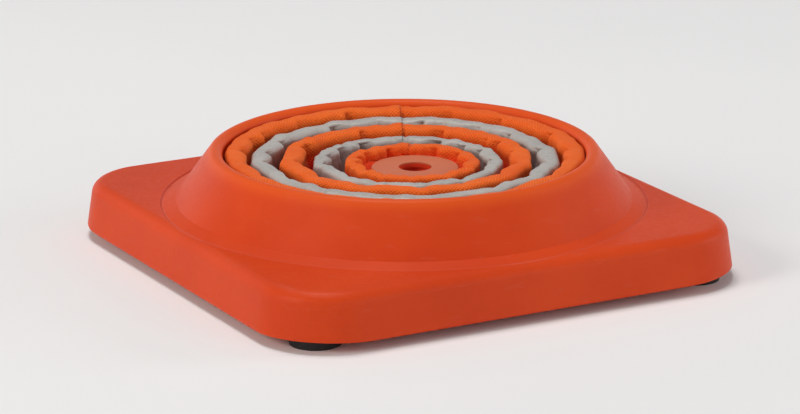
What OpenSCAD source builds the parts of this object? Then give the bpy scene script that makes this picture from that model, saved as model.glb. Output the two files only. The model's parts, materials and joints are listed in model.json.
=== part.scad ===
// Collapsible safety cone, folded flat into its square moulded base.
// Millimetres, +Z up. The origin is on the ground, under the middle of the base.
// Five cloth bands fold up and down in the base's round well. Steel hoops lie in the
// seams between them, a flat spiral spring lies under them, and a holed cap ends the cone.

/* [Base] */
// Width of the base across its lower edge
base_w = 290; // [286:1:300]
// Height of the flat deck above the ground
deck_z = 32.2; // [31:0.1:34]
// Radius of the base's corners, seen from above
corner_r = 42.9; // [40:0.1:45]
// How far each side leans in between its lower edge and the deck
draft = 2.7; // [2:0.1:3.5]
// Rounding of the edge round the deck
edge_r = 7.5; // [6:0.1:8]
// Rounding of the lower edge
lower_edge_r = 2; // [1:0.1:2.5]
// How far the lower edge rises towards the tip of each corner
corner_rise = 1.7; // [0:0.1:2]
// Thickness of the moulded walls
wall = 3; // [2.6:0.1:3.2]

/* [Well] */
// Inside radius of the round well
well_r = 101.85; // [101.6:0.05:102.5]
// Height of the lip round the well
lip_z = 62.55; // [62:0.05:64]
// Radius of the rounded lip
lip_r = 4.2; // [3.8:0.1:4.4]
// Radius of the line where the well's foot band meets the deck
ring_r = 136.3; // [135:0.1:137]
// Radius of the crease between the foot band and the steep flank
crease_r = 128.3; // [126:0.1:129]
// Height of that crease
crease_z = 34.4; // [34:0.1:35.5]

/* [Feet] */
// Height of the rubber feet
foot_h = 5; // [4.6:0.1:5.4]
// Radius of a foot at its top
foot_r = 15; // [12:0.1:15]
// Distance of each foot from the base's centre lines
foot_place = 118; // [114:0.5:119]

/* [Cone] */
// Thickness of the cloth as a plain solid
cloth_t = 0.8; // [0.6:0.1:0.8]
// Radius of the spring's wire
spring_wire_r = 1; // [0.8:0.1:1]
// Radius of the hoops' wire
hoop_wire_r = 1.1; // [0.9:0.1:1.1]

/* [Cap] */
// Radius of the cap's disc
cap_r = 24.5; // [24:0.1:25]
// Radius of the hole through the cap
cap_hole_r = 9.3; // [8:0.1:9.5]
// Height of the cap's top face when the cone is folded
cap_z = 51; // [50.5:0.1:51.5]
// Thickness of the cap's disc
cap_t = 3; // [2.8:0.1:3.2]

/* [Hidden] */

orange_plastic = [0.89, 0.32, 0.14];
orange_cloth = [0.98, 0.42, 0.14];
grey_cloth = [0.68, 0.68, 0.66];
salmon_plastic = [0.88, 0.46, 0.34];

CORNERS = [[-1, -1], [1, -1], [-1, 1], [1, 1]];
eps = 0.01;
round_fn = 180;
small_fn = 48;

// Levels from the ground up
plate_t = 3;
floor_z = foot_h + plate_t;
under_deck_z = deck_z - wall;
plate_gap = 1.2;

// The lower edge starts to rise this far from the middle, measured along a diagonal
rise_from = 168;
corner_reach = norm([base_w / 2 - corner_r, base_w / 2 - corner_r]) + corner_r;
rise_angle = atan(corner_rise / (corner_reach - rise_from));

// The flank's straight line leaves the crease and touches the lip's circle
lip_cx = well_r + lip_r;
lip_cz = lip_z - lip_r;
flank_heading = atan2(lip_cz - crease_z, lip_cx - crease_r)
    - asin(lip_r / norm([lip_cx - crease_r, lip_cz - crease_z]));
flank_normal = flank_heading - 90;
lip_solid_z = lip_cz - 4;
band_drop = 0.8;

// Screws through the feet, up into the shell's bosses
boss_r = 5.5;
foot_taper = 1;
foot_recess_r = 5;
foot_recess_h = 2.6;
foot_screw_head_r = 4;
foot_screw_head_h = 2.2;
foot_screw_r = 1.8;
foot_screw_len = 15;
screw_gap = 0.2;
thread_gap = 0.1;
screw_tip_gap = 0.2;

// The folded cone. Seam 0 is the hem at the well's wall, seam 5 the one at the cap.
// The stack lies a little off centre, more so towards the cap.
seam_r = [101, 87.1, 71.7, 54.6, 39.9, 26];
seam_shift = [0, 0.8, 0.5, 1, 3.2, 6.1];
shift_angle = -28.8;
crown_z = [61, 59, 59, 56.6, 55.3];
crown_w = [11, 9.5, 11, 7.5, 8.4];
crown_steps = 8;
outer_lean = 0.3;
seam_gap = 0.4;
seam_z = 13;
wire_gap = 0.3;
hoop_z = seam_z - wire_gap - hoop_wire_r;

// The hem of band 1 under its ring, and the ring's screws
hem_in_r = 93.4;
hem_ring_t = 2.5;
hem_ring_out_r = 98.8;
hem_ring_z = floor_z + cloth_t;
hem_lip_in_r = 89.4;
hem_lip_out_r = 93.6;
hem_ring_in_r = 93.1;
hem_lip_t = 1;
hem_screw_place = 96;
hem_screw_count = 8;
hem_screw_r = 1.5;
hem_screw_head_r = 2.6;
hem_screw_head_h = 1.6;
hem_screw_len = hem_ring_z + hem_ring_t - foot_h - screw_tip_gap;

// The magnetic catch that holds the cap down
pedestal_z = 20;
pedestal_r = 24;
pedestal_top_r = 22;
pedestal_wall = 2.5;
pedestal_boss_r = 5;
strike_t = 1.5;
strike_z = pedestal_z + strike_t;
catch_screw_r = 2;
catch_screw_head_r = 3.8;
catch_screw_head_h = 2;
catch_screw_len = strike_z - foot_h - screw_tip_gap;
magnet_t = 4;
magnet_out_r = 16;
hub_in_r = 10.8;
hub_out_r = 14;
hub_z = strike_z + magnet_t;

// The cap's underside, where a ring clamps the hem of band 5
cap_under_z = cap_z - cap_t;
cap_edge_r = 0.8;
cap_hem_gap = 0.1;
cap_hem_z = cap_under_z - cap_hem_gap - cloth_t;
cap_hem_in_r = 17;
cap_ring_t = 2.5;
cap_ring_z = cap_hem_z - cap_hem_gap - cap_ring_t;
cap_ring_in_r = 14.4;
cap_ring_out_r = 23.6;
cap_screw_place = 20.4;
cap_screw_count = 6;
cap_screw_r = 1.2;
cap_screw_head_r = 2.2;
cap_screw_head_h = 1.4;
cap_screw_tip_z = cap_under_z + 2;
cap_screw_len = cap_screw_tip_z - cap_ring_z - cap_screw_head_h;

// The spring: one close turn under the hem ring's lip, then a spiral that rises at its inner end
spring_gap = 0.15;
spring_low_z = floor_z + spring_gap + spring_wire_r;
spring_high_z = cap_ring_z - spring_gap - spring_wire_r;
spring_out_r = 91.8;
spring_close_pitch = 2.6;
spring_in_r = 16.2;
spring_turns = 6;
spring_rising_turns = 1.4;
spring_steps_per_turn = 40;
spring_sides = 6;

// Points along an arc, from angle a0 to a1
function arc(cx, cz, r, a0, a1, n) = [
    for (i = [0 : n]) let (a = a0 + (a1 - a0) * i / n) [cx + r * cos(a), cz + r * sin(a)]
];

function smooth(u) = let (v = min(max(u, 0), 1)) v * v * (3 - 2 * v);

// A point of the folded stack's off-centre line, d from the middle
function off_centre(d) = [d * cos(shift_angle), d * sin(shift_angle), 0];

// Repeats its children round the Z axis at radius r
module around(r, n, a0 = 0) {
    for (i = [0 : n - 1]) rotate([0, 0, a0 + 360 * i / n]) translate([r, 0, 0]) children();
}

module at_corners(place) {
    for (c = CORNERS) translate([c[0] * place, c[1] * place, 0]) children();
}

// A ring with a round bore, standing on z = 0
module ring(r_out, r_in, h) {
    difference() {
        cylinder(r = r_out, h = h, $fn = round_fn);
        translate([0, 0, -1]) cylinder(r = r_in, h = h + 2, $fn = round_fn);
    }
}

// A pan-head screw standing on its head, with a crossed recess in the head
module screw(head_r, head_h, shank_r, length) {
    slot_w = head_r / 3.5;
    slot_l = head_r * 1.2;
    difference() {
        union() {
            cylinder(r = head_r, h = head_h, $fn = small_fn);
            cylinder(r = shank_r, h = head_h + length, $fn = small_fn);
        }
        for (a = [0, 90]) rotate([0, 0, a])
            translate([-slot_l / 2, -slot_w / 2, -eps]) cube([slot_l, slot_w, head_h / 2]);
    }
}

// One corner of the slab, lathed. The hull of four of them is the whole drafted slab.
module corner_post(r, lean, z0, z1, low_r, top_r) {
    rotate_extrude($fn = 96) polygon(concat(
        [[0, z0]],
        arc(r - low_r, z0 + low_r, low_r, -90, 0, 3),
        arc(r - lean - top_r, z1 - top_r, top_r, 0, 90, 8),
        [[0, z1]]
    ));
}

module slab(inset, z0, z1, low_r, top_r) {
    hull() at_corners(base_w / 2 - corner_r)
        corner_post(corner_r - inset, draft, z0, z1, low_r, top_r);
}

// Wedges under the four corners, which lift the lower edge there
module corner_undercut() {
    for (a = [45 : 90 : 315]) rotate([0, 0, a]) translate([rise_from, 0, foot_h])
        rotate([0, -rise_angle, 0]) translate([0, -corner_reach / 2, -foot_h])
            cube([corner_r, corner_reach, foot_h]);
}

// The round hole in the deck that the collar fills, with a shallow line round it
module deck_hole() {
    rotate_extrude($fn = round_fn) polygon([
        [0, 0],
        [ring_r, 0],
        [ring_r, deck_z - band_drop],
        [ring_r + band_drop, deck_z],
        [ring_r + band_drop + 1, deck_z + 1],
        [0, deck_z + 1]
    ]);
}

// The square tub: deck, sides and the bosses over the feet
module base_shell() {
    color(orange_plastic) difference() {
        slab(0, foot_h, deck_z, lower_edge_r, edge_r);
        difference() {
            slab(wall, -1, under_deck_z, 0.5, edge_r - wall);
            at_corners(foot_place) translate([0, 0, floor_z])
                cylinder(r = boss_r, h = deck_z, $fn = small_fn);
        }
        deck_hole();
        corner_undercut();
        at_corners(foot_place) cylinder(r = foot_screw_r, h = floor_z + foot_screw_len, $fn = small_fn);
    }
}

// The raised collar: foot band, steep flank, rounded lip and the well's upright wall
module base_collar() {
    wall_out_r = well_r + wall;
    line_r = crease_r - wall * cos(flank_normal);
    line_z = crease_z - wall * sin(flank_normal);
    color(orange_plastic) rotate_extrude($fn = round_fn) polygon(concat(
        [[well_r, floor_z], [wall_out_r, floor_z], [wall_out_r, lip_solid_z]],
        [[line_r + (lip_solid_z - line_z) / tan(flank_heading), lip_solid_z]],
        [[line_r + (under_deck_z - line_z) / tan(flank_heading), under_deck_z]],
        [[ring_r, under_deck_z], [ring_r, deck_z - band_drop], [crease_r, crease_z]],
        arc(lip_cx, lip_cz, lip_r, flank_normal, 180, 12)
    ));
}

module plate_outline() {
    half = base_w / 2 - wall - plate_gap;
    r = corner_r - wall - plate_gap;
    square([2 * (half - r), 2 * half], center = true);
    square([2 * half, 2 * (half - r)], center = true);
    at_corners(half - r) circle(r = r, $fn = round_fn);
}

module bottom_plate() {
    color(orange_plastic) difference() {
        translate([0, 0, foot_h]) linear_extrude(plate_t) plate_outline();
        corner_undercut();
        translate([0, 0, foot_h - 1]) {
            at_corners(foot_place) cylinder(r = foot_screw_r + screw_gap, h = plate_t + 2, $fn = small_fn);
            around(hem_screw_place, hem_screw_count)
                cylinder(r = hem_screw_r + screw_gap, h = plate_t + 2, $fn = small_fn);
            cylinder(r = catch_screw_r + screw_gap, h = plate_t + 2, $fn = small_fn);
        }
    }
}

module foot(corner) {
    color("dimgray") translate([corner[0] * foot_place, corner[1] * foot_place, 0]) difference() {
        cylinder(r1 = foot_r - foot_taper, r2 = foot_r, h = foot_h, $fn = 96);
        translate([0, 0, -1]) cylinder(r = foot_screw_r + screw_gap, h = foot_h + 2, $fn = small_fn);
        translate([0, 0, -1]) cylinder(r = foot_recess_r, h = foot_recess_h + 1, $fn = small_fn);
    }
}

module foot_screws() {
    color("silver") at_corners(foot_place) translate([0, 0, foot_recess_h - foot_screw_head_h])
        screw(foot_screw_head_r, foot_screw_head_h, foot_screw_r - thread_gap, foot_screw_len);
}

// Clamps band 1's hem to the floor. Its inner lip keeps the spring's first turn down.
module hem_ring() {
    color("dimgray") difference() {
        union() {
            translate([0, 0, hem_ring_z]) ring(hem_ring_out_r, hem_ring_in_r, hem_ring_t);
            translate([0, 0, hem_ring_z + hem_ring_t - hem_lip_t])
                ring(hem_lip_out_r, hem_lip_in_r, hem_lip_t);
        }
        around(hem_screw_place, hem_screw_count)
            cylinder(r = hem_screw_r + screw_gap, h = 2 * hem_ring_z, $fn = small_fn);
    }
}

module hem_screws() {
    head_top_z = hem_ring_z + hem_ring_t + hem_screw_head_h;
    color("silver") around(hem_screw_place, hem_screw_count) translate([0, 0, head_top_z])
        mirror([0, 0, 1])
            screw(hem_screw_head_r, hem_screw_head_h, hem_screw_r, hem_screw_len);
}

module catch_pedestal() {
    top_inner_r = pedestal_top_r - pedestal_wall;
    color(orange_plastic) translate([0, 0, floor_z]) difference() {
        cylinder(r1 = pedestal_r, r2 = pedestal_top_r, h = pedestal_z - floor_z, $fn = 96);
        difference() {
            translate([0, 0, -1])
                cylinder(r = top_inner_r, h = pedestal_z - floor_z - pedestal_wall + 1, $fn = 96);
            translate([0, 0, -2]) cylinder(r = pedestal_boss_r, h = pedestal_z, $fn = small_fn);
        }
        translate([0, 0, -1]) cylinder(r = catch_screw_r + screw_gap, h = pedestal_z, $fn = small_fn);
    }
}

module strike_plate() {
    color("silver") translate([0, 0, pedestal_z]) ring(pedestal_top_r, catch_screw_r + screw_gap, strike_t);
}

module catch_screw() {
    color("silver") translate([0, 0, strike_z + catch_screw_head_h]) mirror([0, 0, 1])
        screw(catch_screw_head_r, catch_screw_head_h, catch_screw_r, catch_screw_len);
}

// Where the wire's middle runs, t turns from its outer end
function spring_rise(t) = smooth((t - spring_turns + spring_rising_turns) / spring_rising_turns);
function spring_radius(t) =
    let (open_r = spring_out_r - spring_close_pitch)
    t < 1
        ? spring_out_r - spring_close_pitch * t
        : open_r - (open_r - spring_in_r) * (t - 1) / (spring_turns - 1);
function spring_point(t) =
    let (rise = spring_rise(t), r = spring_radius(t))
    off_centre(seam_shift[5] * rise)
    + [r * cos(360 * t), r * sin(360 * t), spring_low_z + (spring_high_z - spring_low_z) * rise];

// The wire's section, a ring of points in the plane of its radius and the vertical
function spring_section(t) = [
    for (k = [0 : spring_sides - 1])
        let (a = 360 * k / spring_sides)
        spring_point(t) + spring_wire_r
            * [cos(a) * cos(360 * t), cos(a) * sin(360 * t), sin(a)]
];

module spring() {
    steps = spring_turns * spring_steps_per_turn;
    points = [for (i = [0 : steps]) each spring_section(i / spring_steps_per_turn)];
    sides = [
        for (i = [0 : steps - 1], k = [0 : spring_sides - 1])
            let (a = i * spring_sides, b = a + spring_sides, n = (k + 1) % spring_sides)
            each [[a + k, b + k, b + n], [a + k, b + n, a + n]]
    ];
    start = [for (k = [0 : spring_sides - 1]) k];
    end = [for (k = [spring_sides - 1 : -1 : 0]) steps * spring_sides + k];
    color("silver") polyhedron(points, concat([start], sides, [end]), convexity = 10);
}

// Outline of a fold's outside, from the outer seam over the crown to the inner seam
function fold_edge(r_out, z_out, r_in, z_in, top, width, skin) =
    let (
        outer_r = r_out - outer_lean,
        cx = outer_r - width / 2,
        cr = width / 2 - skin,
        cz = top - width / 2
    )
    concat([[r_out - skin, z_out]], arc(cx, cz, cr, 0, 180, crown_steps), [[r_in + skin, z_in]]);

function reversed(list) = [for (i = [len(list) - 1 : -1 : 0]) list[i]];

// A fold as a solid of the cloth's thickness
module fold(r_out, z_out, r_in, z_in, top, width) {
    rotate_extrude($fn = round_fn) polygon(concat(
        fold_edge(r_out, z_out, r_in, z_in, top, width, 0),
        reversed(fold_edge(r_out, z_out, r_in, z_in, top, width, cloth_t))
    ));
}

module band(i) {
    middle = off_centre((seam_shift[i] + seam_shift[i + 1]) / 2);
    room = seam_gap + abs(seam_shift[i + 1] - seam_shift[i]) / 2;
    first = i == 0;
    last = i == 4;
    r_out = seam_r[i] - room;
    r_in = seam_r[i + 1] + (last ? 0 : room);
    z_out = first ? floor_z : seam_z;
    z_in = last ? cap_hem_z : seam_z;
    color(i % 2 == 0 ? orange_cloth : grey_cloth) difference() {
        translate(middle) union() {
            fold(r_out, z_out, r_in, z_in, crown_z[i], crown_w[i]);
            if (first) translate([0, 0, floor_z]) ring(r_out - cloth_t / 2, hem_in_r, cloth_t);
            if (last) translate([0, 0, cap_hem_z]) ring(r_in + cloth_t / 2, cap_hem_in_r, cloth_t);
        }
        if (first) around(hem_screw_place, hem_screw_count)
            cylinder(r = hem_screw_r + screw_gap, h = 2 * floor_z, $fn = small_fn);
        if (last) translate(off_centre(seam_shift[5])) around(cap_screw_place, cap_screw_count)
            cylinder(r = cap_screw_r + screw_gap, h = cap_under_z, $fn = small_fn);
    }
}

module seam_hoop(i) {
    color("silver") translate(off_centre(seam_shift[i])) rotate_extrude($fn = round_fn)
        translate([seam_r[i], hoop_z]) circle(r = hoop_wire_r, $fn = 24);
}

module on_cap_axis() {
    translate(off_centre(seam_shift[5])) children();
}

module top_cap() {
    color(salmon_plastic) on_cap_axis() difference() {
        rotate_extrude($fn = round_fn) polygon(concat(
            [[cap_hole_r, cap_z]],
            [[cap_hole_r, cap_under_z], [hub_in_r, cap_under_z], [hub_in_r, hub_z], [hub_out_r, hub_z]],
            [[hub_out_r, cap_under_z], [cap_r, cap_under_z]],
            arc(cap_r - cap_edge_r, cap_z - cap_edge_r, cap_edge_r, 0, 90, 6)
        ));
        around(cap_screw_place, cap_screw_count)
            cylinder(r = cap_screw_r + thread_gap, h = cap_screw_tip_z + screw_tip_gap, $fn = small_fn);
    }
}

module cap_ring() {
    color("dimgray") on_cap_axis() difference() {
        translate([0, 0, cap_ring_z]) ring(cap_ring_out_r, cap_ring_in_r, cap_ring_t);
        around(cap_screw_place, cap_screw_count) {
            cylinder(r = cap_screw_r + screw_gap, h = cap_z, $fn = small_fn);
            cylinder(r = cap_screw_head_r + screw_gap, h = cap_ring_z + cap_screw_head_h, $fn = small_fn);
        }
    }
}

module cap_screws() {
    color("silver") on_cap_axis() around(cap_screw_place, cap_screw_count) translate([0, 0, cap_ring_z])
        screw(cap_screw_head_r, cap_screw_head_h, cap_screw_r, cap_screw_len);
}

module magnet_ring() {
    color("gray") on_cap_axis() translate([0, 0, strike_z]) ring(magnet_out_r, hub_in_r, magnet_t);
}

base_shell();
base_collar();
bottom_plate();
foot(CORNERS[0]);  // foot_front_left
foot(CORNERS[1]);  // foot_front_right
foot(CORNERS[2]);  // foot_rear_left
foot(CORNERS[3]);  // foot_rear_right
foot_screws();
hem_ring();
hem_screws();
catch_pedestal();
strike_plate();
catch_screw();
spring();
band(0);  // band_1
band(1);  // band_2
band(2);  // band_3
band(3);  // band_4
band(4);  // band_5
seam_hoop(1);  // seam_hoop_1
seam_hoop(2);  // seam_hoop_2
seam_hoop(3);  // seam_hoop_3
seam_hoop(4);  // seam_hoop_4
top_cap();
cap_ring();
cap_screws();
magnet_ring();
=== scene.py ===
"""A collapsible safety cone, folded flat into its square base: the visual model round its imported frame."""
import json
import math

import bpy
import numpy as np
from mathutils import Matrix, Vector, noise


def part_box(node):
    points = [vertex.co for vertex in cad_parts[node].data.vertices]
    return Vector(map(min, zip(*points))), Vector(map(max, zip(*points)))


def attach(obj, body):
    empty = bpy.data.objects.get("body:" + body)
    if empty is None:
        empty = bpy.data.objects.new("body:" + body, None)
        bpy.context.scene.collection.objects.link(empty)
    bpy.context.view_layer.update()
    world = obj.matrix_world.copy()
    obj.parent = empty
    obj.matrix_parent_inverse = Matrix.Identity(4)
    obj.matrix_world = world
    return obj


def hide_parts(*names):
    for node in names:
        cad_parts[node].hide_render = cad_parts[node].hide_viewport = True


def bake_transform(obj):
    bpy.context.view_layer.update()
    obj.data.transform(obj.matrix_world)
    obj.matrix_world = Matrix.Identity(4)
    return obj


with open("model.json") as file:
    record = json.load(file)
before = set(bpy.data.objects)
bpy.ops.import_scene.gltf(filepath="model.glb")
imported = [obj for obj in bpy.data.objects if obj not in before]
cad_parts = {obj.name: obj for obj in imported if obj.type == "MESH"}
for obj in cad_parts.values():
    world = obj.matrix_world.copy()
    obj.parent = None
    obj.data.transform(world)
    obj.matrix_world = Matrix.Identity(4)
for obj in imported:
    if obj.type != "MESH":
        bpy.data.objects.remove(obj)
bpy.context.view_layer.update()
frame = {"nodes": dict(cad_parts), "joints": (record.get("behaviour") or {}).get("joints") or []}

MM = 0.001
BOTTOM, TOP = 0, 1


def cad_height(node, end):
    """The height of a CAD node's bottom or top, in millimetres."""
    return round(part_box(node)[end][2] / MM, 3)


# The folded cone, in millimetres, as the CAD has it. Seam 0 is the hem in the well, and seam 5 the cap's hem.
SEAM_R = [101, 87.1, 71.7, 54.6, 39.9, 26]
SEAM_SHIFT = [0, 0.8, 0.5, 1, 3.2, 6.1]
SHIFT_ANGLE = math.radians(-28.8)
SEAM_Z = cad_height("band_2", BOTTOM)
FLOOR_Z = cad_height("bottom_plate", TOP)
HOOP_Z = (cad_height("seam_hoop_1", BOTTOM) + cad_height("seam_hoop_1", TOP)) / 2
WELL_R = 101.85
SEAM_GAP = 0.4
TRAVEL = [joint["range_m"][1] / MM for joint in frame["joints"]]

# The cloth as it is drawn: its thickness, its hems, and its distance from a seam's middle and the next band
CLOTH_T = 0.45
HEM_IN_R = 93.7
CAP_HEM_IN_R = 17.3
CAP_HEM_Z = 47.5
SEAM_SIDE = 0.8
HEM_SIDE = 0.6
NEIGHBOUR_GAP = 0.5


# ---------------------------------------------------------------- meshes

def mesh_object(name, points, faces, smooth=True):
    """A new object from points in millimetres and a list or array of faces."""
    mesh = bpy.data.meshes.new(name)
    faces = faces.tolist() if isinstance(faces, np.ndarray) else faces
    mesh.from_pydata((np.asarray(points) * MM).tolist(), [], faces)
    mesh.polygons.foreach_set("use_smooth", [smooth] * len(mesh.polygons))
    mesh.update()
    piece = bpy.data.objects.new(name, mesh)
    bpy.context.scene.collection.objects.link(piece)
    return piece


def grid_faces(rows, columns, wrap_rows=False, wrap_columns=False, flip=False):
    """Quads over a grid of points, numbered row by row."""
    i = np.arange(rows if wrap_rows else rows - 1)
    j = np.arange(columns if wrap_columns else columns - 1)
    i, j = (a.ravel() for a in np.meshgrid(i, j, indexing="ij"))
    i2, j2 = (i + 1) % rows, (j + 1) % columns
    quads = np.stack([i * columns + j, i2 * columns + j, i2 * columns + j2, i * columns + j2], axis=1)
    return quads[:, ::-1] if flip else quads


def lathe(profile, centre, steps=240):
    """Points and faces of a closed profile of (radius, height) turned round a vertical axis."""
    profile = np.asarray(profile, float)
    angle = np.linspace(0, 2 * math.pi, steps, endpoint=False)
    points = np.empty((steps, len(profile), 3))
    points[..., 0] = centre[0] + np.outer(np.cos(angle), profile[:, 0])
    points[..., 1] = centre[1] + np.outer(np.sin(angle), profile[:, 0])
    points[..., 2] = profile[:, 1]
    return points.reshape(-1, 3), grid_faces(steps, len(profile), True, True)


def off_centre(distance):
    """A point of the stack's off-centre line."""
    return np.array([distance * math.cos(SHIFT_ANGLE), distance * math.sin(SHIFT_ANGLE)])


def blend_by(piece):
    """Bakes a piece's placing into its points."""
    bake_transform(piece)


# ---------------------------------------------------------------- materials

class Shader:
    """A node material, built up by short calls."""

    def __init__(self, name, **sockets):
        self.material = bpy.data.materials.new(name)
        self.material.use_nodes = True
        self.tree = self.material.node_tree
        self.main = self.tree.nodes["Principled BSDF"]
        for socket, value in sockets.items():
            self.main.inputs[socket.replace("_", " ")].default_value = value

    def node(self, kind, inputs=None, **settings):
        made = self.tree.nodes.new("ShaderNode" + kind)
        for key, value in settings.items():
            setattr(made, key, value)
        for key, value in (inputs or {}).items():
            if isinstance(value, bpy.types.NodeSocket):
                self.tree.links.new(value, made.inputs[key])
            else:
                made.inputs[key].default_value = value
        return made

    def math(self, operation, a, b=0.0, clamp=False):
        return self.node("Math", {0: a, 1: b}, operation=operation, use_clamp=clamp).outputs[0]

    def place(self):
        return self.node("TexCoord").outputs["Object"]

    def cloth_place(self):
        return self.node("UVMap", uv_map="cloth").outputs["UV"]

    def stretched(self, vector, scale):
        return self.node("Mapping", {"Vector": vector, "Scale": scale}).outputs[0]

    def noise(self, vector, scale, detail=3.0, roughness=0.55):
        inputs = {"Vector": vector, "Scale": scale, "Detail": detail, "Roughness": roughness}
        return self.node("TexNoise", inputs).outputs["Fac"]

    def cells(self, vector, scale):
        return self.node("TexVoronoi", {"Vector": vector, "Scale": scale}).outputs["Distance"]

    def range(self, value, low, high, new_low=0.0, new_high=1.0):
        inputs = {0: value, 1: low, 2: high, 3: new_low, 4: new_high}
        return self.node("MapRange", inputs, interpolation_type="SMOOTHSTEP").outputs[0]

    def mix(self, share, a, b):
        return self.node("Mix", {0: share, 6: a, 7: b}, data_type="RGBA").outputs[2]

    def split(self, vector):
        return self.node("SeparateXYZ", {0: vector}).outputs

    def bump(self, height, distance, strength=1.0, normal=None):
        inputs = {"Height": height, "Distance": distance, "Strength": strength}
        if normal is not None:
            inputs["Normal"] = normal
        return self.node("Bump", inputs).outputs[0]

    def end(self, colour=None, roughness=None, normal=None):
        for socket, value in (("Base Color", colour), ("Roughness", roughness), ("Normal", normal)):
            if value is not None:
                self.tree.links.new(value, self.main.inputs[socket])
        return self.material


def rgb(red, green, blue):
    """A linear colour with full cover."""
    return (red, green, blue, 1.0)


BASE_ORANGE = rgb(0.68, 0.064, 0.012)
LIP_HIGHLIGHT_ORANGE = rgb(0.88, 0.140, 0.018)
# The orange inside the cap's hole: the plastic's own orange there, made brighter than the base's as painted
# light against the shade in the hole
HOLE_ORANGE = rgb(0.80, 0.052, 0.018)
# The upright cylinder that holds the cap's hole: its radius and its top, in millimetres
CAP_HOLE_REACH = 14
CAP_HOLE_TOP = 50.3
# The painted highlight along the groove line on the base: its radius, half its full-strength and whole widths
# in millimetres, and its share
GROOVE_HIGHLIGHT_R = 136.3
GROOVE_HIGHLIGHT_CORE = 0.3
GROOVE_HIGHLIGHT_EDGE = 1.6
GROOVE_HIGHLIGHT_SHARE = 0.28
# The heights in millimetres between which the painted highlight on the base's lip rises, and its share at the
# crest
LIP_HIGHLIGHT_START_Z = 55
LIP_HIGHLIGHT_END_Z = 62.2
LIP_HIGHLIGHT_SHARE = 0.4
# The heights in millimetres between which the cloth's colour goes from its darkest painted shade in the folds
# to its own
FOLD_SHADE_FULL_Z = 45
FOLD_SHADE_NONE_Z = 55.5
# The weave's pitch round the band and along it, in metres
WARP_PITCH = 0.0024
WEFT_PITCH = 0.0020


def reach_and_height(s, place, middle=(0, 0)):
    """Distance from an upright axis, and height, both in metres; the middle is in millimetres."""
    from_axis = s.node("VectorMath", {0: place, 1: (middle[0] * MM, middle[1] * MM, 0)}, operation="SUBTRACT")
    x, y, z = s.split(from_axis.outputs[0])
    return s.math("SQRT", s.math("ADD", s.math("MULTIPLY", x, x), s.math("MULTIPLY", y, y))), z


def inside_of(s, place, middle, radius, top):
    """1 within a radius of an upright axis and below a height, 0 elsewhere; all in millimetres."""
    reach, z = reach_and_height(s, place, middle)
    return s.math("MULTIPLY", s.math("LESS_THAN", reach, radius * MM), s.math("LESS_THAN", z, top * MM))


def painted_groove_highlight(s, place, radius):
    """A soft ring at a radius, in millimetres, painted paler as a highlight along the groove line."""
    off = s.math("ABSOLUTE", s.math("SUBTRACT", reach_and_height(s, place)[0], radius * MM))
    return s.range(off, GROOVE_HIGHLIGHT_CORE * MM, GROOVE_HIGHLIGHT_EDGE * MM, GROOVE_HIGHLIGHT_SHARE, 0.0)


def painted_lip_highlight(s, place):
    """How much painted highlight the base gets, from nothing on the flank to its most on the lip's crest."""
    return s.range(s.split(place)[2], LIP_HIGHLIGHT_START_Z * MM, LIP_HIGHLIGHT_END_Z * MM, 0.0, LIP_HIGHLIGHT_SHARE)


def moulded_plastic(name, colour, deep, specks=True, roughness=0.42, hole=None):
    """Satin polyethylene: slow mottling, fine orange peel, faint scuffs and a few dark specks.

    The cap's has another colour in its hole, brighter than the base's orange as painted light against the
    hole's shade; the base's has instead a painted highlight along its groove line and a painted highlight on
    the lip's crest.
    """
    s = Shader(name, IOR=1.5, Specular_IOR_Level=0.11)
    place = s.place()
    slow = s.noise(place, 14, 4)
    grain = s.noise(place, 420, 2)
    scuff = s.range(s.noise(s.stretched(place, (1, 1, 5)), 55, 6, 0.7), 0.56, 0.74)
    tint = s.mix(s.range(slow, 0.3, 0.7), deep, colour)
    # A paler colour, used both for the real scuffs and for the painted highlight along the groove line
    scuff_and_highlight_pale = tuple(0.8 * c + 0.2 * 0.6 for c in colour[:3]) + (1.0,)
    if hole:
        # Partly the hole's own orange and partly painted light, brighter than the base's to lift the hole's
        # shade
        tint = s.mix(inside_of(s, place, *hole), tint, HOLE_ORANGE)
    else:
        # Painted highlight: a paler ring along the groove line
        tint = s.mix(painted_groove_highlight(s, place, GROOVE_HIGHLIGHT_R), tint, scuff_and_highlight_pale)
        # Painted highlight: a paler orange on the lip's crest
        tint = s.mix(painted_lip_highlight(s, place), tint, LIP_HIGHLIGHT_ORANGE)
    tint = s.mix(s.math("MULTIPLY", scuff, 0.16), tint, scuff_and_highlight_pale)
    if specks:
        speck = s.range(s.cells(place, 75), 0.018, 0.03, 1.0, 0.0)
        some = s.range(s.noise(place, 23, 1), 0.60, 0.64)
        tint = s.mix(s.math("MULTIPLY", s.math("MULTIPLY", speck, some), 0.75), tint, rgb(0.12, 0.02, 0.012))
    rough = s.range(grain, 0.2, 0.8, roughness - 0.04, roughness + 0.06)
    rough = s.math("ADD", rough, s.math("MULTIPLY", scuff, 0.1))
    normal = s.bump(grain, 0.00006, 0.5)
    normal = s.bump(s.noise(place, 60, 3), 0.0002, 0.35, normal)
    return s.end(tint, rough, normal)


def woven(s):
    """The height of a plain weave, from 0 to 1, on the cloth's own coordinates."""
    across = s.split(s.cloth_place())
    warp = s.math("SINE", s.math("MULTIPLY", across[0], 2 * math.pi / WARP_PITCH))
    weft = s.math("SINE", s.math("MULTIPLY", across[1], 2 * math.pi / WEFT_PITCH))
    return s.math("ADD", s.math("MULTIPLY", s.math("MULTIPLY", warp, weft), 0.5), 0.5)


def painted_fold_shade(s, most):
    """How much painted shade darkens the cloth's colour, down in the folds."""
    return s.range(s.split(s.place())[2], FOLD_SHADE_FULL_Z * MM, FOLD_SHADE_NONE_Z * MM, most, 0.0)


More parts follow.
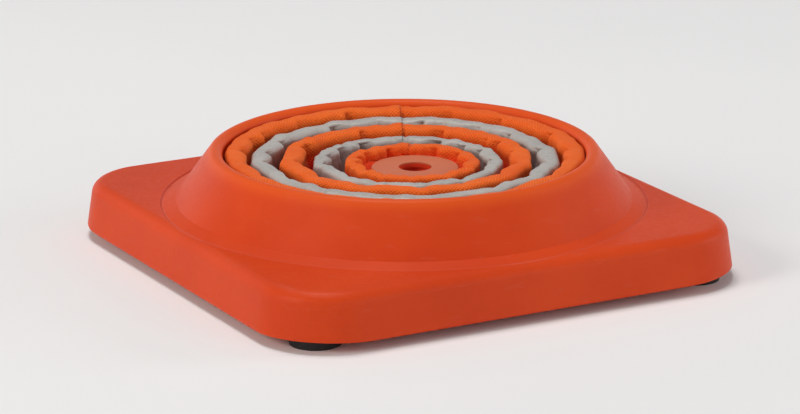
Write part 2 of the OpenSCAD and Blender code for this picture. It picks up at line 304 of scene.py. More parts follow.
def orange_cloth():
    """Coated polyester: a visible plain weave, slow fading, painted shade down in the folds, and a slight
    sheen.
    """
    sheen = {"Sheen_Weight": 0.08, "Sheen_Roughness": 0.45, "Sheen_Tint": rgb(1.0, 0.5, 0.25)}
    s = Shader("orange cloth", Specular_IOR_Level=0.12, **sheen)
    place = s.cloth_place()
    weave = woven(s)
    slow = s.noise(s.place(), 28, 4)
    thread = s.noise(s.stretched(place, (1, 6, 1)), 260, 3)
    tint = s.mix(s.range(slow, 0.3, 0.72), rgb(0.90, 0.130, 0.014), rgb(0.96, 0.175, 0.022))
    tint = s.mix(s.range(weave, 0.2, 0.8, 0.4, 0.0), tint, rgb(0.55, 0.040, 0.006))
    tint = s.mix(s.range(thread, 0.45, 0.8, 0.0, 0.18), tint, rgb(1.0, 0.34, 0.08))
    # Painted shade: the colour darkens to a deep red low in the folds
    tint = s.mix(painted_fold_shade(s, 0.95), tint, rgb(0.82, 0.022, 0.006))
    rough = s.range(weave, 0, 1, 0.72, 0.58)
    normal = s.bump(weave, 0.00035, 0.9)
    normal = s.bump(thread, 0.00012, 0.5, normal)
    normal = s.bump(s.noise(s.place(), 170, 4, 0.6), 0.0007, 0.45, normal)
    return s.end(tint, rough, normal)


def reflective_cloth():
    """Grey glass-bead cloth: smoother than the orange, with a fine grain, soft creases with painted shade
    along them, and painted shade down in the folds.
    """
    sheen = {"Sheen_Weight": 0.08, "Sheen_Roughness": 0.35}
    s = Shader("reflective cloth", Specular_IOR_Level=0.35, Metallic=0.12, **sheen)
    place = s.cloth_place()
    beads = s.noise(place, 2600, 2)
    slow = s.noise(s.place(), 40, 4)
    crease = s.noise(s.stretched(place, (1, 0.35, 1)), 150, 5, 0.65)
    patches = s.noise(place, 420, 3, 0.6)
    tint = s.mix(s.range(slow, 0.3, 0.7), rgb(0.37, 0.355, 0.335), rgb(0.475, 0.455, 0.425))
    tint = s.mix(s.range(patches, 0.35, 0.7, 0.0, 0.3), tint, rgb(0.58, 0.56, 0.53))
    tint = s.mix(s.range(beads, 0.35, 0.7, 0.0, 0.25), tint, rgb(0.6, 0.59, 0.57))
    # Painted shade: darker colour along the creases
    tint = s.mix(s.range(crease, 0.56, 0.76, 0.0, 0.5), tint, rgb(0.2, 0.19, 0.18))
    # Painted shade: the colour darkens low in the folds
    tint = s.mix(painted_fold_shade(s, 0.4), tint, rgb(0.17, 0.155, 0.14))
    rough = s.range(beads, 0.2, 0.8, 0.42, 0.6)
    normal = s.bump(beads, 0.00004, 0.5)
    normal = s.bump(patches, 0.0003, 0.5, normal)
    normal = s.bump(crease, 0.0008, 0.7, normal)
    return s.end(tint, rough, normal)


def thread(name, colour):
    """Sewing thread, with its twist as fine bands."""
    s = Shader(name, Base_Color=colour, Specular_IOR_Level=0.3, Sheen_Weight=0.1)
    twist = s.node("TexWave", {"Vector": s.place(), "Scale": 900, "Distortion": 1.5}).outputs["Fac"]
    dark = tuple(0.55 * c for c in colour[:3]) + (1.0,)
    return s.end(s.mix(twist, dark, colour), s.range(twist, 0, 1, 0.6, 0.8), s.bump(twist, 0.0001, 0.6))


def rubber():
    """Black rubber, matt, with a little dust."""
    s = Shader("foot rubber", Specular_IOR_Level=0.4)
    place = s.place()
    grain = s.noise(place, 900, 3)
    dust = s.range(s.noise(place, 90, 5, 0.7), 0.5, 0.75, 0.0, 0.35)
    tint = s.mix(dust, rgb(0.014, 0.013, 0.013), rgb(0.06, 0.055, 0.05))
    return s.end(tint, s.range(grain, 0.2, 0.8, 0.5, 0.75), s.bump(grain, 0.0001, 0.6))


def black_plastic():
    """Black moulded plastic, worn paler in places."""
    s = Shader("black plastic", Specular_IOR_Level=0.4)
    place = s.place()
    grain = s.noise(place, 1300, 2)
    worn = s.range(s.noise(place, 130, 5, 0.7), 0.52, 0.74, 0.0, 0.3)
    tint = s.mix(worn, rgb(0.018, 0.018, 0.019), rgb(0.07, 0.07, 0.07))
    return s.end(tint, s.range(grain, 0.2, 0.8, 0.36, 0.5), s.bump(grain, 0.00006, 0.6))


def metal(name, light, dark, roughness, stretch):
    """Bare or plated metal with fine lines along its drawing or turning direction."""
    s = Shader(name, Metallic=1.0)
    place = s.place()
    lines = s.noise(s.stretched(place, stretch), 900, 4, 0.7)
    stain = s.range(s.noise(place, 160, 5, 0.65), 0.42, 0.72)
    tint = s.mix(stain, dark, light)
    rough = s.range(lines, 0.25, 0.75, roughness - 0.08, roughness + 0.12)
    return s.end(tint, rough, s.bump(lines, 0.00004, 0.4))


def ferrite():
    """Dark grey ferrite, grainy and a little chipped."""
    s = Shader("ferrite magnet", Specular_IOR_Level=0.5, Metallic=0.2)
    place = s.place()
    grain = s.noise(place, 1500, 3, 0.7)
    chips = s.range(s.cells(place, 420), 0.1, 0.22, 1.0, 0.0)
    tint = s.mix(s.range(grain, 0.3, 0.7), rgb(0.02, 0.02, 0.022), rgb(0.055, 0.055, 0.06))
    return s.end(tint, s.range(grain, 0.2, 0.8, 0.4, 0.65), s.bump(s.math("ADD", grain, chips), 0.0001, 0.5))


def floor_material():
    """A plain pale floor."""
    s = Shader("studio floor", Specular_IOR_Level=0.1)
    haze = s.noise(s.place(), 3, 3)
    return s.end(s.mix(haze, rgb(0.86, 0.86, 0.86), rgb(0.9, 0.9, 0.9)), s.range(haze, 0, 1, 0.8, 0.9))


# ---------------------------------------------------------------- the folded cloth

# Each list runs from band 1, the outermost, to band 5. Lengths are in millimetres and directions in degrees.
# The height and width of each roll's crown
CROWN_Z = [60.2, 57.2, 57, 54.7, 54.6]
CROWN_W = [11, 10.4, 11, 8, 8.4]
LAST = len(CROWN_Z) - 1
# Where each roll kinks, going round the base
KINKS = [
    [150.9, 134.8, 115.4, 99, 81.1, 62, 45, 27.7, 6.3, -5.3, -26, -38, -60, -84, -105, -131, -153, -176, 167],
    [160, 145.7, 119.6, 92.2, 72, 53, 44.7, 30, 14.1, -17.3, -37.6, -58, -82, -109, -127, -150, -172],
    [162, 131, 109.5, 81.9, 62, 43.3, 22, 1.5, -18.5, -39.5, -64, -90, -112, -141, -166],
    [160.6, 138.9, 118.3, 96.2, 64, 34.4, 14.8, -3.7, -28.8, -55, -80, -108, -134, -160],
    [163, 136.4, 117.5, 81.7, 56.5, 27.1, -0.7, -23.8, -52, -83, -112, -138, -165],
]
# The depth of the tuck beside each kink
TUCKS = [
    [2.2, 1.6, 2.0, 0.8, 1.8, 0.4, 0.7, 1.8, 1.4, 1.4, 1.6, 1.2, 1.4, 1.8, 1.2, 1.6, 1.8, 1.4, 1.2],
    [2.2, 2.6, 3.2, 3.0, 0.5, 2.0, 0.8, 1.2, 2.4, 2.6, 1.8, 1.6, 2.0, 1.8, 2.2, 1.6, 2.0],
    [2.0, 2.6, 2.0, 1.8, 0.4, 2.0, 1.6, 2.4, 1.8, 1.6, 1.8, 1.4, 2.0, 1.6, 1.8],
    [2.6, 3.2, 3.2, 3.2, 0.5, 2.8, 2.2, 2.6, 2.0, 1.8, 2.0, 1.6, 2.0, 1.8],
    [1.8, 2.2, 1.8, 1.6, 0.4, 1.6, 1.8, 1.4, 1.4, 1.6, 1.2, 1.6, 1.4],
]
# Where the sewn join crosses each band
SEWN_AT = [62.5, 62.5, 62.3, 62, 56.5]
# How far each roll's outer edge stands past the room that ring_place gives it, or short of it below 0
STANDS_OUT = [0.9, -0.1, -0.1, -0.1, -0.1]
# How far a straight stretch between two kinks may cut inside the circle
MOST_STRAIGHT = [1.1, 3.8, 3.8, 3.8, 3.8]
# The share of that cut which the roll makes up by standing out elsewhere
MADE_UP = [0, 0.45, 0.45, 0.45, 0.45]
# How far each band's tucks lean towards running straight back: 0 points them at the middle
TUCK_LEAN = [1, 0.6, 1.2, 0, 0]
# The furthest to the side that a tuck leans, as a share of the radius
MOST_LEANED = 0.96
# How far each roll's inner wall bellies out towards the room's limit
BELLY_SHARE = [0.5, 0.05, 0.4, 0.15, 0.4]
# That limit's distance inside the roll's inner side (at least), outside the next roll, and past the next seam
# (at most), and for band 5 its distance inside the roll's inner side
LEAST_BELLY = 0.4
BELLY_ROOM = 1.1
BELLY_PAST_SEAM = 0.6
LAST_BELLY = 1.6
# The far side's middle, towards which the tucks face, and how much lower the rolls lie on the near side
FAR_SIDE = 61.2
NEAR_SIDE = -118.8
NEAR_DIP = [1.9, 0.3, 0, 0, 0]
# Tucks and lips as shares of the depths listed above, and how far a tuck sinks, as a share of its own depth
TUCK_SHARE = 1.75
LIP_SHARE = 0.35
TUCK_SINK = 0.3
# Along the roll from its kink: where a tuck starts, the run over which it deepens, where it begins to ease
# out and the run over which it does; and where the lip's middle lies on the other side, and its width
TUCK_START = -0.6
TUCK_DEEPENS = 1.1
TUCK_EASES = 0.9
TUCK_RUN = 10.5
LIP_MIDDLE = -3.2
LIP_WIDTH = 2.4
# A roll's section: how square it is, with 1 for an ellipse, and the shares of its width that lie outside its
# peak, above its outer shoulder and above its inner one
SQUARE = 0.52
PEAK_SHARE = 0.42
OUTER_RISE = 0.46
INNER_RISE = 0.66
# Broad and fine creases: how far they stand out of the cloth, their size sideways and upwards, and how far
# the pattern moves on from band to band
BROAD_CREASE = (0.34, 7, 24, 5)
FINE_CREASE = (0.16, 3, 7, 9)
# How far from its outer and its inner seam a band creases fully
FREE_FROM_OUTER = 12
FREE_FROM_INNER = 8
# The noise in a roll's edge, in its width (as a share) and in its crown: its seed, size and bumps a radian
EDGE_NOISE = (1, 0.35, 9)
WIDTH_NOISE = (11, 0.07, 7)
CROWN_NOISE = (21, 0.5, 8)
# The share of the travel that the inner wall takes when the cone rises
FLANK_SHARE = 0.12
# The distance between the drawn points round a band, and the columns of points across the hem in the well, up
# the outer wall, round the crown's two sides, down the inner wall and across the hem under the cap
POINT_SPACING = 1.1
HEM_COLUMNS = 3
WALL_COLUMNS = 14
OUTER_COLUMNS = 8
INNER_COLUMNS = 12
FLANK_COLUMNS = 20
CAP_HEM_COLUMNS = 6
# The directions round the base in which the outlines are worked out
OUTLINE_N = 1440
outline_phi = np.linspace(-math.pi, math.pi, OUTLINE_N, endpoint=False)


def circle_seen(radius, shift, phi=outline_phi):
    """At each angle, the distance from the base's middle to a circle that lies off centre by shift."""
    turn = phi - SHIFT_ANGLE
    return shift * np.cos(turn) + np.sqrt(radius ** 2 - (shift * np.sin(turn)) ** 2)


def smoothed(values, degrees):
    """A ring of values, smoothed by a bell curve that many degrees wide."""
    sigma = math.radians(degrees) * OUTLINE_N / (2 * math.pi)
    waves = np.fft.rfftfreq(OUTLINE_N)
    return np.fft.irfft(np.fft.rfft(values) * np.exp(-2 * (math.pi * sigma * waves) ** 2), OUTLINE_N)


def wobble(i, seed, size, bumps):
    """Slow seeded noise round band i's ring, up to about size either way, with so many bumps a radian."""
    heights = np.array([
        noise.noise(Vector((bumps * math.cos(p), bumps * math.sin(p), (i + seed) * 7.3))) for p in outline_phi
    ])
    return size * (heights * 1.8)


def angle_from(phi, degrees):
    """Signed angle from a direction, in radians, within half a turn."""
    return (phi - math.radians(degrees) + math.pi) % (2 * math.pi) - math.pi


def straight_sides(radius, kinks, most):
    """How far inside its circle (below 0) a ring's line lies where it runs straight from kink to kink."""
    found = np.zeros(OUTLINE_N)
    ends = sorted(math.radians((k + 180) % 360 - 180) for k in kinks)
    for a, b in zip(ends, ends[1:] + [ends[0] + 2 * math.pi]):
        half = (b - a) / 2
        gap = radius * (1 - math.cos(half))
        part = min(1, most / gap)
        inside = (outline_phi - a) % (2 * math.pi) < 2 * half
        turn = (outline_phi[inside] - a) % (2 * math.pi) - half
        found[inside] = part * radius * (math.cos(half) / np.cos(turn) - 1)
    return found


def tuck_shape(phi, radius, kink, towards):
    """A tuck beside a kink: steep where it starts at the kink, and easing out away from it."""
    along = angle_from(phi, kink) * radius * towards
    rise = np.clip((along - TUCK_START) / TUCK_DEEPENS, 0, 1)
    fall = np.clip(1 - (along - TUCK_EASES) / TUCK_RUN, 0, 1)
    return rise * rise * (3 - 2 * rise) * fall ** 1.3


def lip_shape(phi, radius, kink, towards):
    """The small bulge on the other side of the same kink."""
    along = angle_from(phi, kink) * radius * towards
    return np.exp(-((along - LIP_MIDDLE) / LIP_WIDTH) ** 2)


def tuck_side(kink):
    """The way a tuck opens from its kink, 1 or -1, so that all face the middle of the far side."""
    return -1 if angle_from(np.array([math.radians(kink)]), FAR_SIDE)[0] > 0 else 1


def leaned(kink, share):
    """Where a far kink reaches the roll's inner side, if it runs straight back rather than to the middle."""
    turn = angle_from(np.array([math.radians(kink)]), FAR_SIDE)[0]
    across = math.sin(turn) * (1 + share)
    if math.cos(turn) <= 0 or abs(across) > MOST_LEANED:
        return kink
    return FAR_SIDE + math.degrees(math.asin(across))


def ring_place(i):
    """The outer radius of the room that a roll has, and how far its middle is off centre."""
    room = SEAM_GAP + abs(SEAM_SHIFT[i + 1] - SEAM_SHIFT[i]) / 2
    return SEAM_R[i] - room, (SEAM_SHIFT[i] + SEAM_SHIFT[i + 1]) / 2


class Ring:
    """One band's outlines, its tucks and its crown's height, in every direction from the base's middle."""

    def __init__(self, i, limit):
        radius, middle = ring_place(i)
        radius += STANDS_OUT[i]
        width = CROWN_W[i]
        sides = smoothed(straight_sides(radius, KINKS[i], MOST_STRAIGHT[i]), 0.35)
        outer = circle_seen(radius, middle) + sides - MADE_UP[i] * sides.mean()
        self.outer = np.minimum(outer + wobble(i, *EDGE_NOISE), limit)
        self.inner = self.outer - width * (1 + wobble(i, *WIDTH_NOISE))
        self.tucks = np.zeros(OUTLINE_N)
        self.lips = np.zeros(OUTLINE_N)
        for kink, depth in zip(KINKS[i], TUCKS[i]):
            inner_kink = leaned(kink, TUCK_LEAN[i] * width / (radius - width))
            self.tucks += TUCK_SHARE * depth * tuck_shape(outline_phi, radius, inner_kink, tuck_side(kink))
            self.lips += LIP_SHARE * depth * lip_shape(outline_phi, radius, inner_kink, tuck_side(kink))
        near = np.clip(np.cos(angle_from(outline_phi, NEAR_SIDE)), 0, 1) ** 2
        self.top = CROWN_Z[i] + wobble(i, *CROWN_NOISE) - NEAR_DIP[i] * near
        self.top -= 0.12 * (self.lips + sides)
        self.seam_out = circle_seen(SEAM_R[i] - (SEAM_SIDE if i else HEM_SIDE), SEAM_SHIFT[i])
        self.seam_in = circle_seen(SEAM_R[i + 1] + (SEAM_SIDE if i < LAST else 0), SEAM_SHIFT[i + 1])


def make_rings():
    """The rings from the outside in, each kept clear of the one round it."""
    rings = []
    limit = np.full(OUTLINE_N, WELL_R - CLOTH_T)
    for i in range(LAST + 1):
        ring = Ring(i, limit)
        if i < LAST:
            next_radius, next_middle = ring_place(i + 1)
            next_outer = circle_seen(next_radius + STANDS_OUT[i + 1], next_middle)
            ring.belly = np.minimum(ring.inner - LEAST_BELLY, next_outer + BELLY_ROOM + NEIGHBOUR_GAP)
            ring.belly = np.maximum(ring.belly, ring.seam_in - BELLY_PAST_SEAM)
        else:
            ring.belly = ring.inner - LAST_BELLY
        limit = np.minimum(ring.belly, ring.inner) - NEIGHBOUR_GAP - CLOTH_T
        rings.append(ring)
    return rings


def eased(count, power):
    """Shares from 0 to 1, closer together near 0 for a power over 1."""
    return np.linspace(0, 1, count) ** power


def band_grid(i, ring):
    """One band's middle surface, with rows round it and columns along the cloth, and the rows' angles."""
    n = int(round(2 * math.pi * SEAM_R[i] / POINT_SPACING))
    phi = np.linspace(-math.pi, math.pi, n, endpoint=False)

    def at(values):
        return np.interp(phi, outline_phi, values, period=2 * math.pi)[:, None]

    outer, inner, belly, top = at(ring.outer), at(ring.inner), at(ring.belly), at(ring.top)
    seam_out, seam_in = at(ring.seam_out), at(ring.seam_in)
    tucks, lips = at(ring.tucks), at(ring.lips)
    width = outer - inner
    peak = outer - PEAK_SHARE * width
    outer_z = top - OUTER_RISE * CROWN_W[i]
    inner_z = top - INNER_RISE * CROWN_W[i]
    z_out = SEAM_Z if i else FLOOR_Z + CLOTH_T / 2
    z_in = SEAM_Z if i < LAST else CAP_HEM_Z

    radii, heights, pull = [], [], []

    def add(r, z, tucked):
        """One stretch of columns: radii, heights, and how fully the tucks shape it."""
        radii.append(np.broadcast_to(r, (n, r.shape[1])))
        heights.append(np.broadcast_to(z, radii[-1].shape))
        pull.append(np.broadcast_to(tucked, radii[-1].shape))

    if i == 0:
        # The hem on the well's floor
        t = np.linspace(0, 1, HEM_COLUMNS + 1)[None, :-1]
        add(HEM_IN_R + (seam_out - HEM_IN_R) * t, z_out + 0 * t, 0 * t)
    # Up the outer wall, round the crown's outer side, and round its inner side
    t = 1 - eased(WALL_COLUMNS + 1, 1.5)[None, :0:-1]
    add(seam_out + (outer - seam_out) * t, z_out + (outer_z - z_out) * t, 0 * t)
    a = np.linspace(0, math.pi / 2, OUTER_COLUMNS + 1)[None, :-1]
    add(peak + (outer - peak) * np.cos(a) ** SQUARE, outer_z + (top - outer_z) * np.sin(a) ** SQUARE, 0 * a)
    a = np.linspace(0, math.pi / 2, INNER_COLUMNS + 1)[None, :-1]
    pulled = np.clip(a / 0.9 - 0.07, 0, 1) ** 1.4
    add(peak + (inner - peak) * np.sin(a) ** SQUARE, inner_z + (top - inner_z) * np.cos(a) ** SQUARE, pulled)
    # Down the inner wall, which bellies out, to the next seam
    t = eased(FLANK_COLUMNS + 1, 1.25)[None]
    swell = np.sin(math.pi * t ** 0.62) ** 1.2
    wall_r = inner + (seam_in - inner) * t ** 0.8 + (belly - inner) * BELLY_SHARE[i] * swell * (1 - t)
    add(wall_r, inner_z + (z_in - inner_z) * t, np.clip(1 - t * 1.35, 0, 1) ** 1.2)
    if i == LAST:
        # The hem under the cap
        t = np.linspace(0, 1, CAP_HEM_COLUMNS + 1)[None, 1:]
        hem_in = circle_seen(CAP_HEM_IN_R, SEAM_SHIFT[-1], phi)[:, None]
        add(seam_in + (hem_in - seam_in) * t, z_in + 0 * t, 0 * t)

    r, z, pulled = (np.concatenate(parts, axis=1) for parts in (radii, heights, pull))
    r = r + pulled * (tucks - lips)
    z = z - TUCK_SINK * pulled * tucks * (pulled < 1)
    points = np.stack([r * np.cos(phi)[:, None], r * np.sin(phi)[:, None], z], axis=-1)
    return points, phi


def normals_of(points):
    """Unit normals of a grid that closes on itself row-wise, pointing out of the roll."""
    round_it = np.roll(points, -1, axis=0) - np.roll(points, 1, axis=0)
    along = np.gradient(points, axis=1)
    n = np.cross(round_it, along)
    return n / np.maximum(np.linalg.norm(n, axis=2, keepdims=True), 1e-9)


def creases(points, i, depth, sideways, upwards, step):
    """How far each point of band i stands out of the cloth or lies in it."""
    return depth * np.array([
        noise.noise(Vector((p[0] / sideways, p[1] / sideways, p[2] / upwards + step * i))) for p in points
    ])


def crumpled(points, free, i):
    """Small wrinkles across the roll, and finer ones all over, by how free of the seams each column is."""
    flat = points.reshape(-1, 3)
    amount = creases(flat, i, *BROAD_CREASE) + creases(flat, i, *FINE_CREASE)
    return points + normals_of(points) * (amount.reshape(points.shape[:2]) * free)[..., None]


def path_lengths(points):
    """Mean distance along the cloth from its first column."""
    steps = np.linalg.norm(np.diff(points, axis=1), axis=2).mean(axis=0)
    return np.concatenate([[0], np.cumsum(steps)])


def rise_weights(i, points, last):
    """How much of its joint's travel each column takes, so that the fold opens into an even slope."""
    z = points[..., 2].mean(axis=0)
    r = np.linalg.norm(points[..., :2], axis=2).mean(axis=0)
    top = int(np.argmax(z))
    travel = TRAVEL[i]
    end = z[last] + travel
    # The columns where the outer wall ends and where the inner wall starts
    wall = max(k for k in range(top) if z[k] < z[top] - 0.5 * CROWN_W[i] + 0.2)
    inner = min(k for k in range(top, len(z)) if r[k] < r[top] - 0.56 * CROWN_W[i])
    flank = FLANK_SHARE * travel
    lengths = path_lengths(points)
    target = np.interp(lengths, [lengths[wall], lengths[inner], lengths[last]], [z[wall], end - flank, end])
    weights = np.clip((target - z) / travel, 0, 1)
    weights[:wall + 1] = 0
    weights[last:] = 1
    return np.maximum.accumulate(weights)


def cloth_shell(name, points, lengths, radius):
    """A closed sheet of the cloth's thickness over a grid, with coordinates along its threads in metres."""
    rows, columns = points.shape[:2]
    normal = normals_of(points)
    sides = [points + normal * CLOTH_T / 2, points - normal * CLOTH_T / 2]
    count = rows * columns
    outside = grid_faces(rows, columns, wrap_rows=True)
    inside = outside[:, ::-1] + count
    i = np.arange(rows)
    j = (i + 1) % rows
    start = np.stack([i * columns, i * columns + count, j * columns + count, j * columns], axis=1)
    end = start[:, ::-1] + columns - 1
    piece = mesh_object(name, np.concatenate([s.reshape(-1, 3) for s in sides]),
                        np.concatenate([outside, inside, start, end]))
    row = np.tile(np.repeat(i, columns), 2)
    uv = piece.data.uv_layers.new(name="cloth")
    loops = np.zeros(len(piece.data.loops), int)
    piece.data.loops.foreach_get("vertex_index", loops)
    turn = row[loops].astype(float).reshape(-1, 4)
    turn[(turn.max(axis=1) - turn.min(axis=1) > 1)[:, None] & (turn == 0)] = rows
    u = turn.ravel() / rows * 2 * math.pi * radius * MM
    v = np.tile(np.tile(lengths, rows), 2)[loops] * MM
    uv.data.foreach_set("uv", np.stack([u, v], axis=1).astype(np.float32).ravel())
    return piece


def stitch_box(centre, along, across, up, length, width, height):
    """The twelve corners of one stitch, its ends a little lower than its middle."""
    corners = []
    for a in (-0.5, 0, 0.5):
        drop = -0.5 * height if a else 0.5 * height
        for b in (-0.5, 0.5):
            for c in (-0.5, 0.5):
                corners.append(centre + along * a * length + across * b * width + up * (c * height + drop))
    return corners


STITCH_FACES = [
    [0, 1, 3, 2], [8, 10, 11, 9],
    [0, 4, 5, 1], [4, 8, 9, 5],
    [2, 3, 7, 6], [6, 7, 11, 10],
    [1, 5, 7, 3], [5, 9, 11, 7],
    [0, 2, 6, 4], [4, 6, 10, 8],
]


STITCH_W = 0.32
STITCH_H = 0.18
# Along the sewn join: the stitches' length, spacing, height over the cloth and distance from the hems
JOIN_STITCH = 1.8
JOIN_SPACING = 2.6
JOIN_LIFT = 0.12
JOIN_END = 3
# Round a seam: the stitches' length, spacing and height over the cloth, and the row's distance from the seam
ROW_STITCH = 2.1
ROW_SPACING = 3.2
ROW_LIFT = 0.08
ROW_IN = 3.5
# The sewn join's lap: its width, how far it stands out, and the depth of the groove beside it
LAP_W = 6.5
LAP_HIGH = 0.4
LAP_GROOVE = 0.45


def stitches(name, points, weights, sewn_at, rows_at):
    """Stitches along the sewn join and round the cloth near its seams, with their weights."""
    normal = normals_of(points)
    n = len(points)
    corners, faces, pulls = [], [], []

    def add(centre, along, up, weight, length):
        along = along / np.linalg.norm(along)
        across = np.cross(up, along)
        base = len(corners)
        corners.extend(stitch_box(centre, along, across, up, length, STITCH_W, STITCH_H))
        faces.extend([[base + k for k in f] for f in STITCH_FACES])
        pulls.extend([weight] * (len(corners) - base))

    row = int(round((math.radians(sewn_at) + math.pi) / (2 * math.pi) * n)) % n
    line, up = points[row], normal[row]
    lengths = np.concatenate([[0], np.cumsum(np.linalg.norm(np.diff(line, axis=0), axis=1))])
    for at in np.arange(JOIN_END, lengths[-1] - JOIN_END, JOIN_SPACING):
        k = min(int(np.searchsorted(lengths, at)), len(lengths) - 1)
        share = (at - lengths[k - 1]) / (lengths[k] - lengths[k - 1])
        centre = line[k - 1] + (line[k] - line[k - 1]) * share + up[k] * (CLOTH_T / 2 + JOIN_LIFT)
        weight = weights[k - 1] + (weights[k] - weights[k - 1]) * share
        add(centre, line[k] - line[k - 1], up[k], weight, JOIN_STITCH)
    for column in rows_at:
        ring, ring_up = points[:, column], normal[:, column]
        step = np.linalg.norm(np.roll(ring, -1, axis=0) - ring, axis=1)
        every = max(2, int(round(ROW_SPACING / step.mean())))
        for k in range(0, n, every):
            along = ring[(k + 1) % n] - ring[k - 1]
            centre = ring[k] + ring_up[k] * (CLOTH_T / 2 + ROW_LIFT)
            add(centre, along, ring_up[k], weights[column], ROW_STITCH)
    piece = mesh_object(name, corners, faces, smooth=False)
    return piece, pulls


def lap_ridge(points, phi, sewn_at, radius):
    """Raises a narrow strip beside the sewn join, where the cloth lies double, with a groove along it."""
    along = angle_from(phi, sewn_at) * radius
    raised = np.clip((along + 0.8) / 0.8, 0, 1) * np.clip((LAP_W - along) / 1.2, 0, 1)
    groove = np.exp(-((along + 1.4) / 0.9) ** 2)
    return points + normals_of(points) * (LAP_HIGH * raised - LAP_GROOVE * groove)[:, None, None]


def make_band(i, ring, materials, threads):
    """One band's cloth and its stitches, with the size that the cloth was cut to and its area, in metres."""
    points, phi = band_grid(i, ring)
    first = HEM_COLUMNS if i == 0 else 0
    last = points.shape[1] - 1 - (CAP_HEM_COLUMNS if i == LAST else 0)
    lengths = path_lengths(points)
    cut = lengths[-1]
    around = 2 * math.pi * np.linalg.norm(points[..., :2], axis=2).mean(axis=0)
    flat_area = float(((around[1:] + around[:-1]) / 2 * np.diff(lengths)).sum())
    free = np.clip((lengths - lengths[first]) / FREE_FROM_OUTER, 0, 1)
    free = free * np.clip((lengths[last] - lengths) / FREE_FROM_INNER, 0, 1)
    points = crumpled(points, free[None], i)
    points = lap_ridge(points, phi, SEWN_AT[i], SEAM_R[i])
    weights = rise_weights(i, points, last)
    name = f"cloth_{i + 1}"
    piece = cloth_shell(name, points, lengths, SEAM_R[i])
    piece.data.materials.append(materials[i % 2])
    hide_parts(f"band_{i + 1}")
    blend_by(piece)
    near_start = int(np.searchsorted(lengths, lengths[first] + ROW_IN))
    near_end = int(np.searchsorted(lengths, lengths[last] - ROW_IN))
    rows_at = [near_start] if i == LAST else [near_start, near_end]
    sewing, pulls = stitches(f"{name}_stitches", points, weights, SEWN_AT[i], rows_at)
    sewing.data.materials.append(threads[i % 2])
    blend_by(sewing)
    return piece, sewing, (flat_area / cut * MM, cut * MM), flat_area * MM * MM


# A seam's binding tape: its thickness, its bend's radius, and how far its two arms rise over the seam
TAPE_T = 0.2
TAPE_BEND_R = 1.25
TAPE_ARM = 4


def tape_side(middle_r, bend_r, arm_z):
    """One side of the tape's section: down an arm, round under the hoop, and up the other arm."""
    bend = [(middle_r + bend_r * math.cos(a), HOOP_Z + bend_r * math.sin(a))
            for a in np.linspace(math.pi, 2 * math.pi, 13)]
    return [(middle_r - bend_r, arm_z)] + bend + [(middle_r + bend_r, arm_z)]


def seam_tape(k, material):
    """The binding that wraps seam k and its hoop, open at the top."""
    arm_z = SEAM_Z + TAPE_ARM
    outside = tape_side(SEAM_R[k], TAPE_BEND_R + TAPE_T / 2, arm_z)
    inside = tape_side(SEAM_R[k], TAPE_BEND_R - TAPE_T / 2, arm_z)
    points, faces = lathe(outside + inside[::-1], off_centre(SEAM_SHIFT[k]))
    piece = mesh_object(f"seam_tape_{k}", points, faces)
    piece.data.materials.append(material)
    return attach(piece, f"seam_{k}")


# ---------------------------------------------------------------- the spring

# One close turn under the hem ring, then a spiral whose last turns rise to the ring under the cap
SPRING_TURNS = 6
SPRING_RISING = 1.4
SPRING_OUT_R = 91.8
SPRING_CLOSE = 2.6
SPRING_IN_R = 16.2
SPRING_WIRE_R = 1.0
SPRING_LOW_Z = FLOOR_Z + 0.15 + SPRING_WIRE_R
SPRING_HIGH_Z = cad_height("cap_ring", BOTTOM) - 0.25 - SPRING_WIRE_R
SPRING_SIDES = 10
SPRING_STEPS = 90


def spring_line(t):
    """The wire's middle, t turns from its outer end."""
    u = np.clip((t - SPRING_TURNS + SPRING_RISING) / SPRING_RISING, 0, 1)
    rise = u * u * (3 - 2 * u)
    open_r = SPRING_OUT_R - SPRING_CLOSE
    r = np.where(t < 1, SPRING_OUT_R - SPRING_CLOSE * t,
                 open_r - (open_r - SPRING_IN_R) * (t - 1) / (SPRING_TURNS - 1))
    shift = off_centre(SEAM_SHIFT[-1])
    angle = 2 * math.pi * t
    return np.stack([
        r * np.cos(angle) + shift[0] * rise,
        r * np.sin(angle) + shift[1] * rise,
        SPRING_LOW_Z + (SPRING_HIGH_Z - SPRING_LOW_Z) * rise,
    ], axis=1), angle


def spring_pieces(material):
    """The spring in five lengths, one for each joint, each as long along the wire as its joint's share of the
    travel.
    """
    total = sum(TRAVEL)
    starts = np.concatenate([[0], np.cumsum(TRAVEL)]) / total * (SPRING_TURNS - 1) + 1
    starts[0] = 0
    sides = SPRING_SIDES
    turn = np.linspace(0, 2 * math.pi, sides, endpoint=False)
    for k in range(len(TRAVEL)):
        t = np.linspace(starts[k], starts[k + 1], int(round((starts[k + 1] - starts[k]) * SPRING_STEPS)) + 2)
        line, angle = spring_line(t)
        outward = np.stack([np.cos(angle), np.sin(angle), 0 * angle], axis=1)
        section = (np.cos(turn)[None, :, None] * outward[:, None]
                   + np.sin(turn)[None, :, None] * np.array([0, 0, 1.0]))
        points = (line[:, None] + SPRING_WIRE_R * section).reshape(-1, 3)
        faces = grid_faces(len(t), sides, wrap_columns=True, flip=True).tolist()
        if k == 0:
            faces.append(list(range(sides)))
        if k == len(TRAVEL) - 1:
            faces.append([(len(t) - 1) * sides + s for s in range(sides)][::-1])
        piece = mesh_object(f"spring_{k + 1}", points, faces)
        piece.data.materials.append(material)
        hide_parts("spring")
        blend_by(piece)


# ---------------------------------------------------------------- the CAD parts

SHARP_ANGLE = math.radians(35)


def finish_cad(name, material):
    """Gives a CAD part its material, and smooths it over everything but its sharp edges."""
    part = frame["nodes"][name]
    part.data.materials.clear()
    part.data.materials.append(material)
    part.data.shade_smooth()
    part.data.set_sharp_from_angle(angle=SHARP_ANGLE)
    even = part.modifiers.new("even normals", "WEIGHTED_NORMAL")
    even.keep_sharp = True


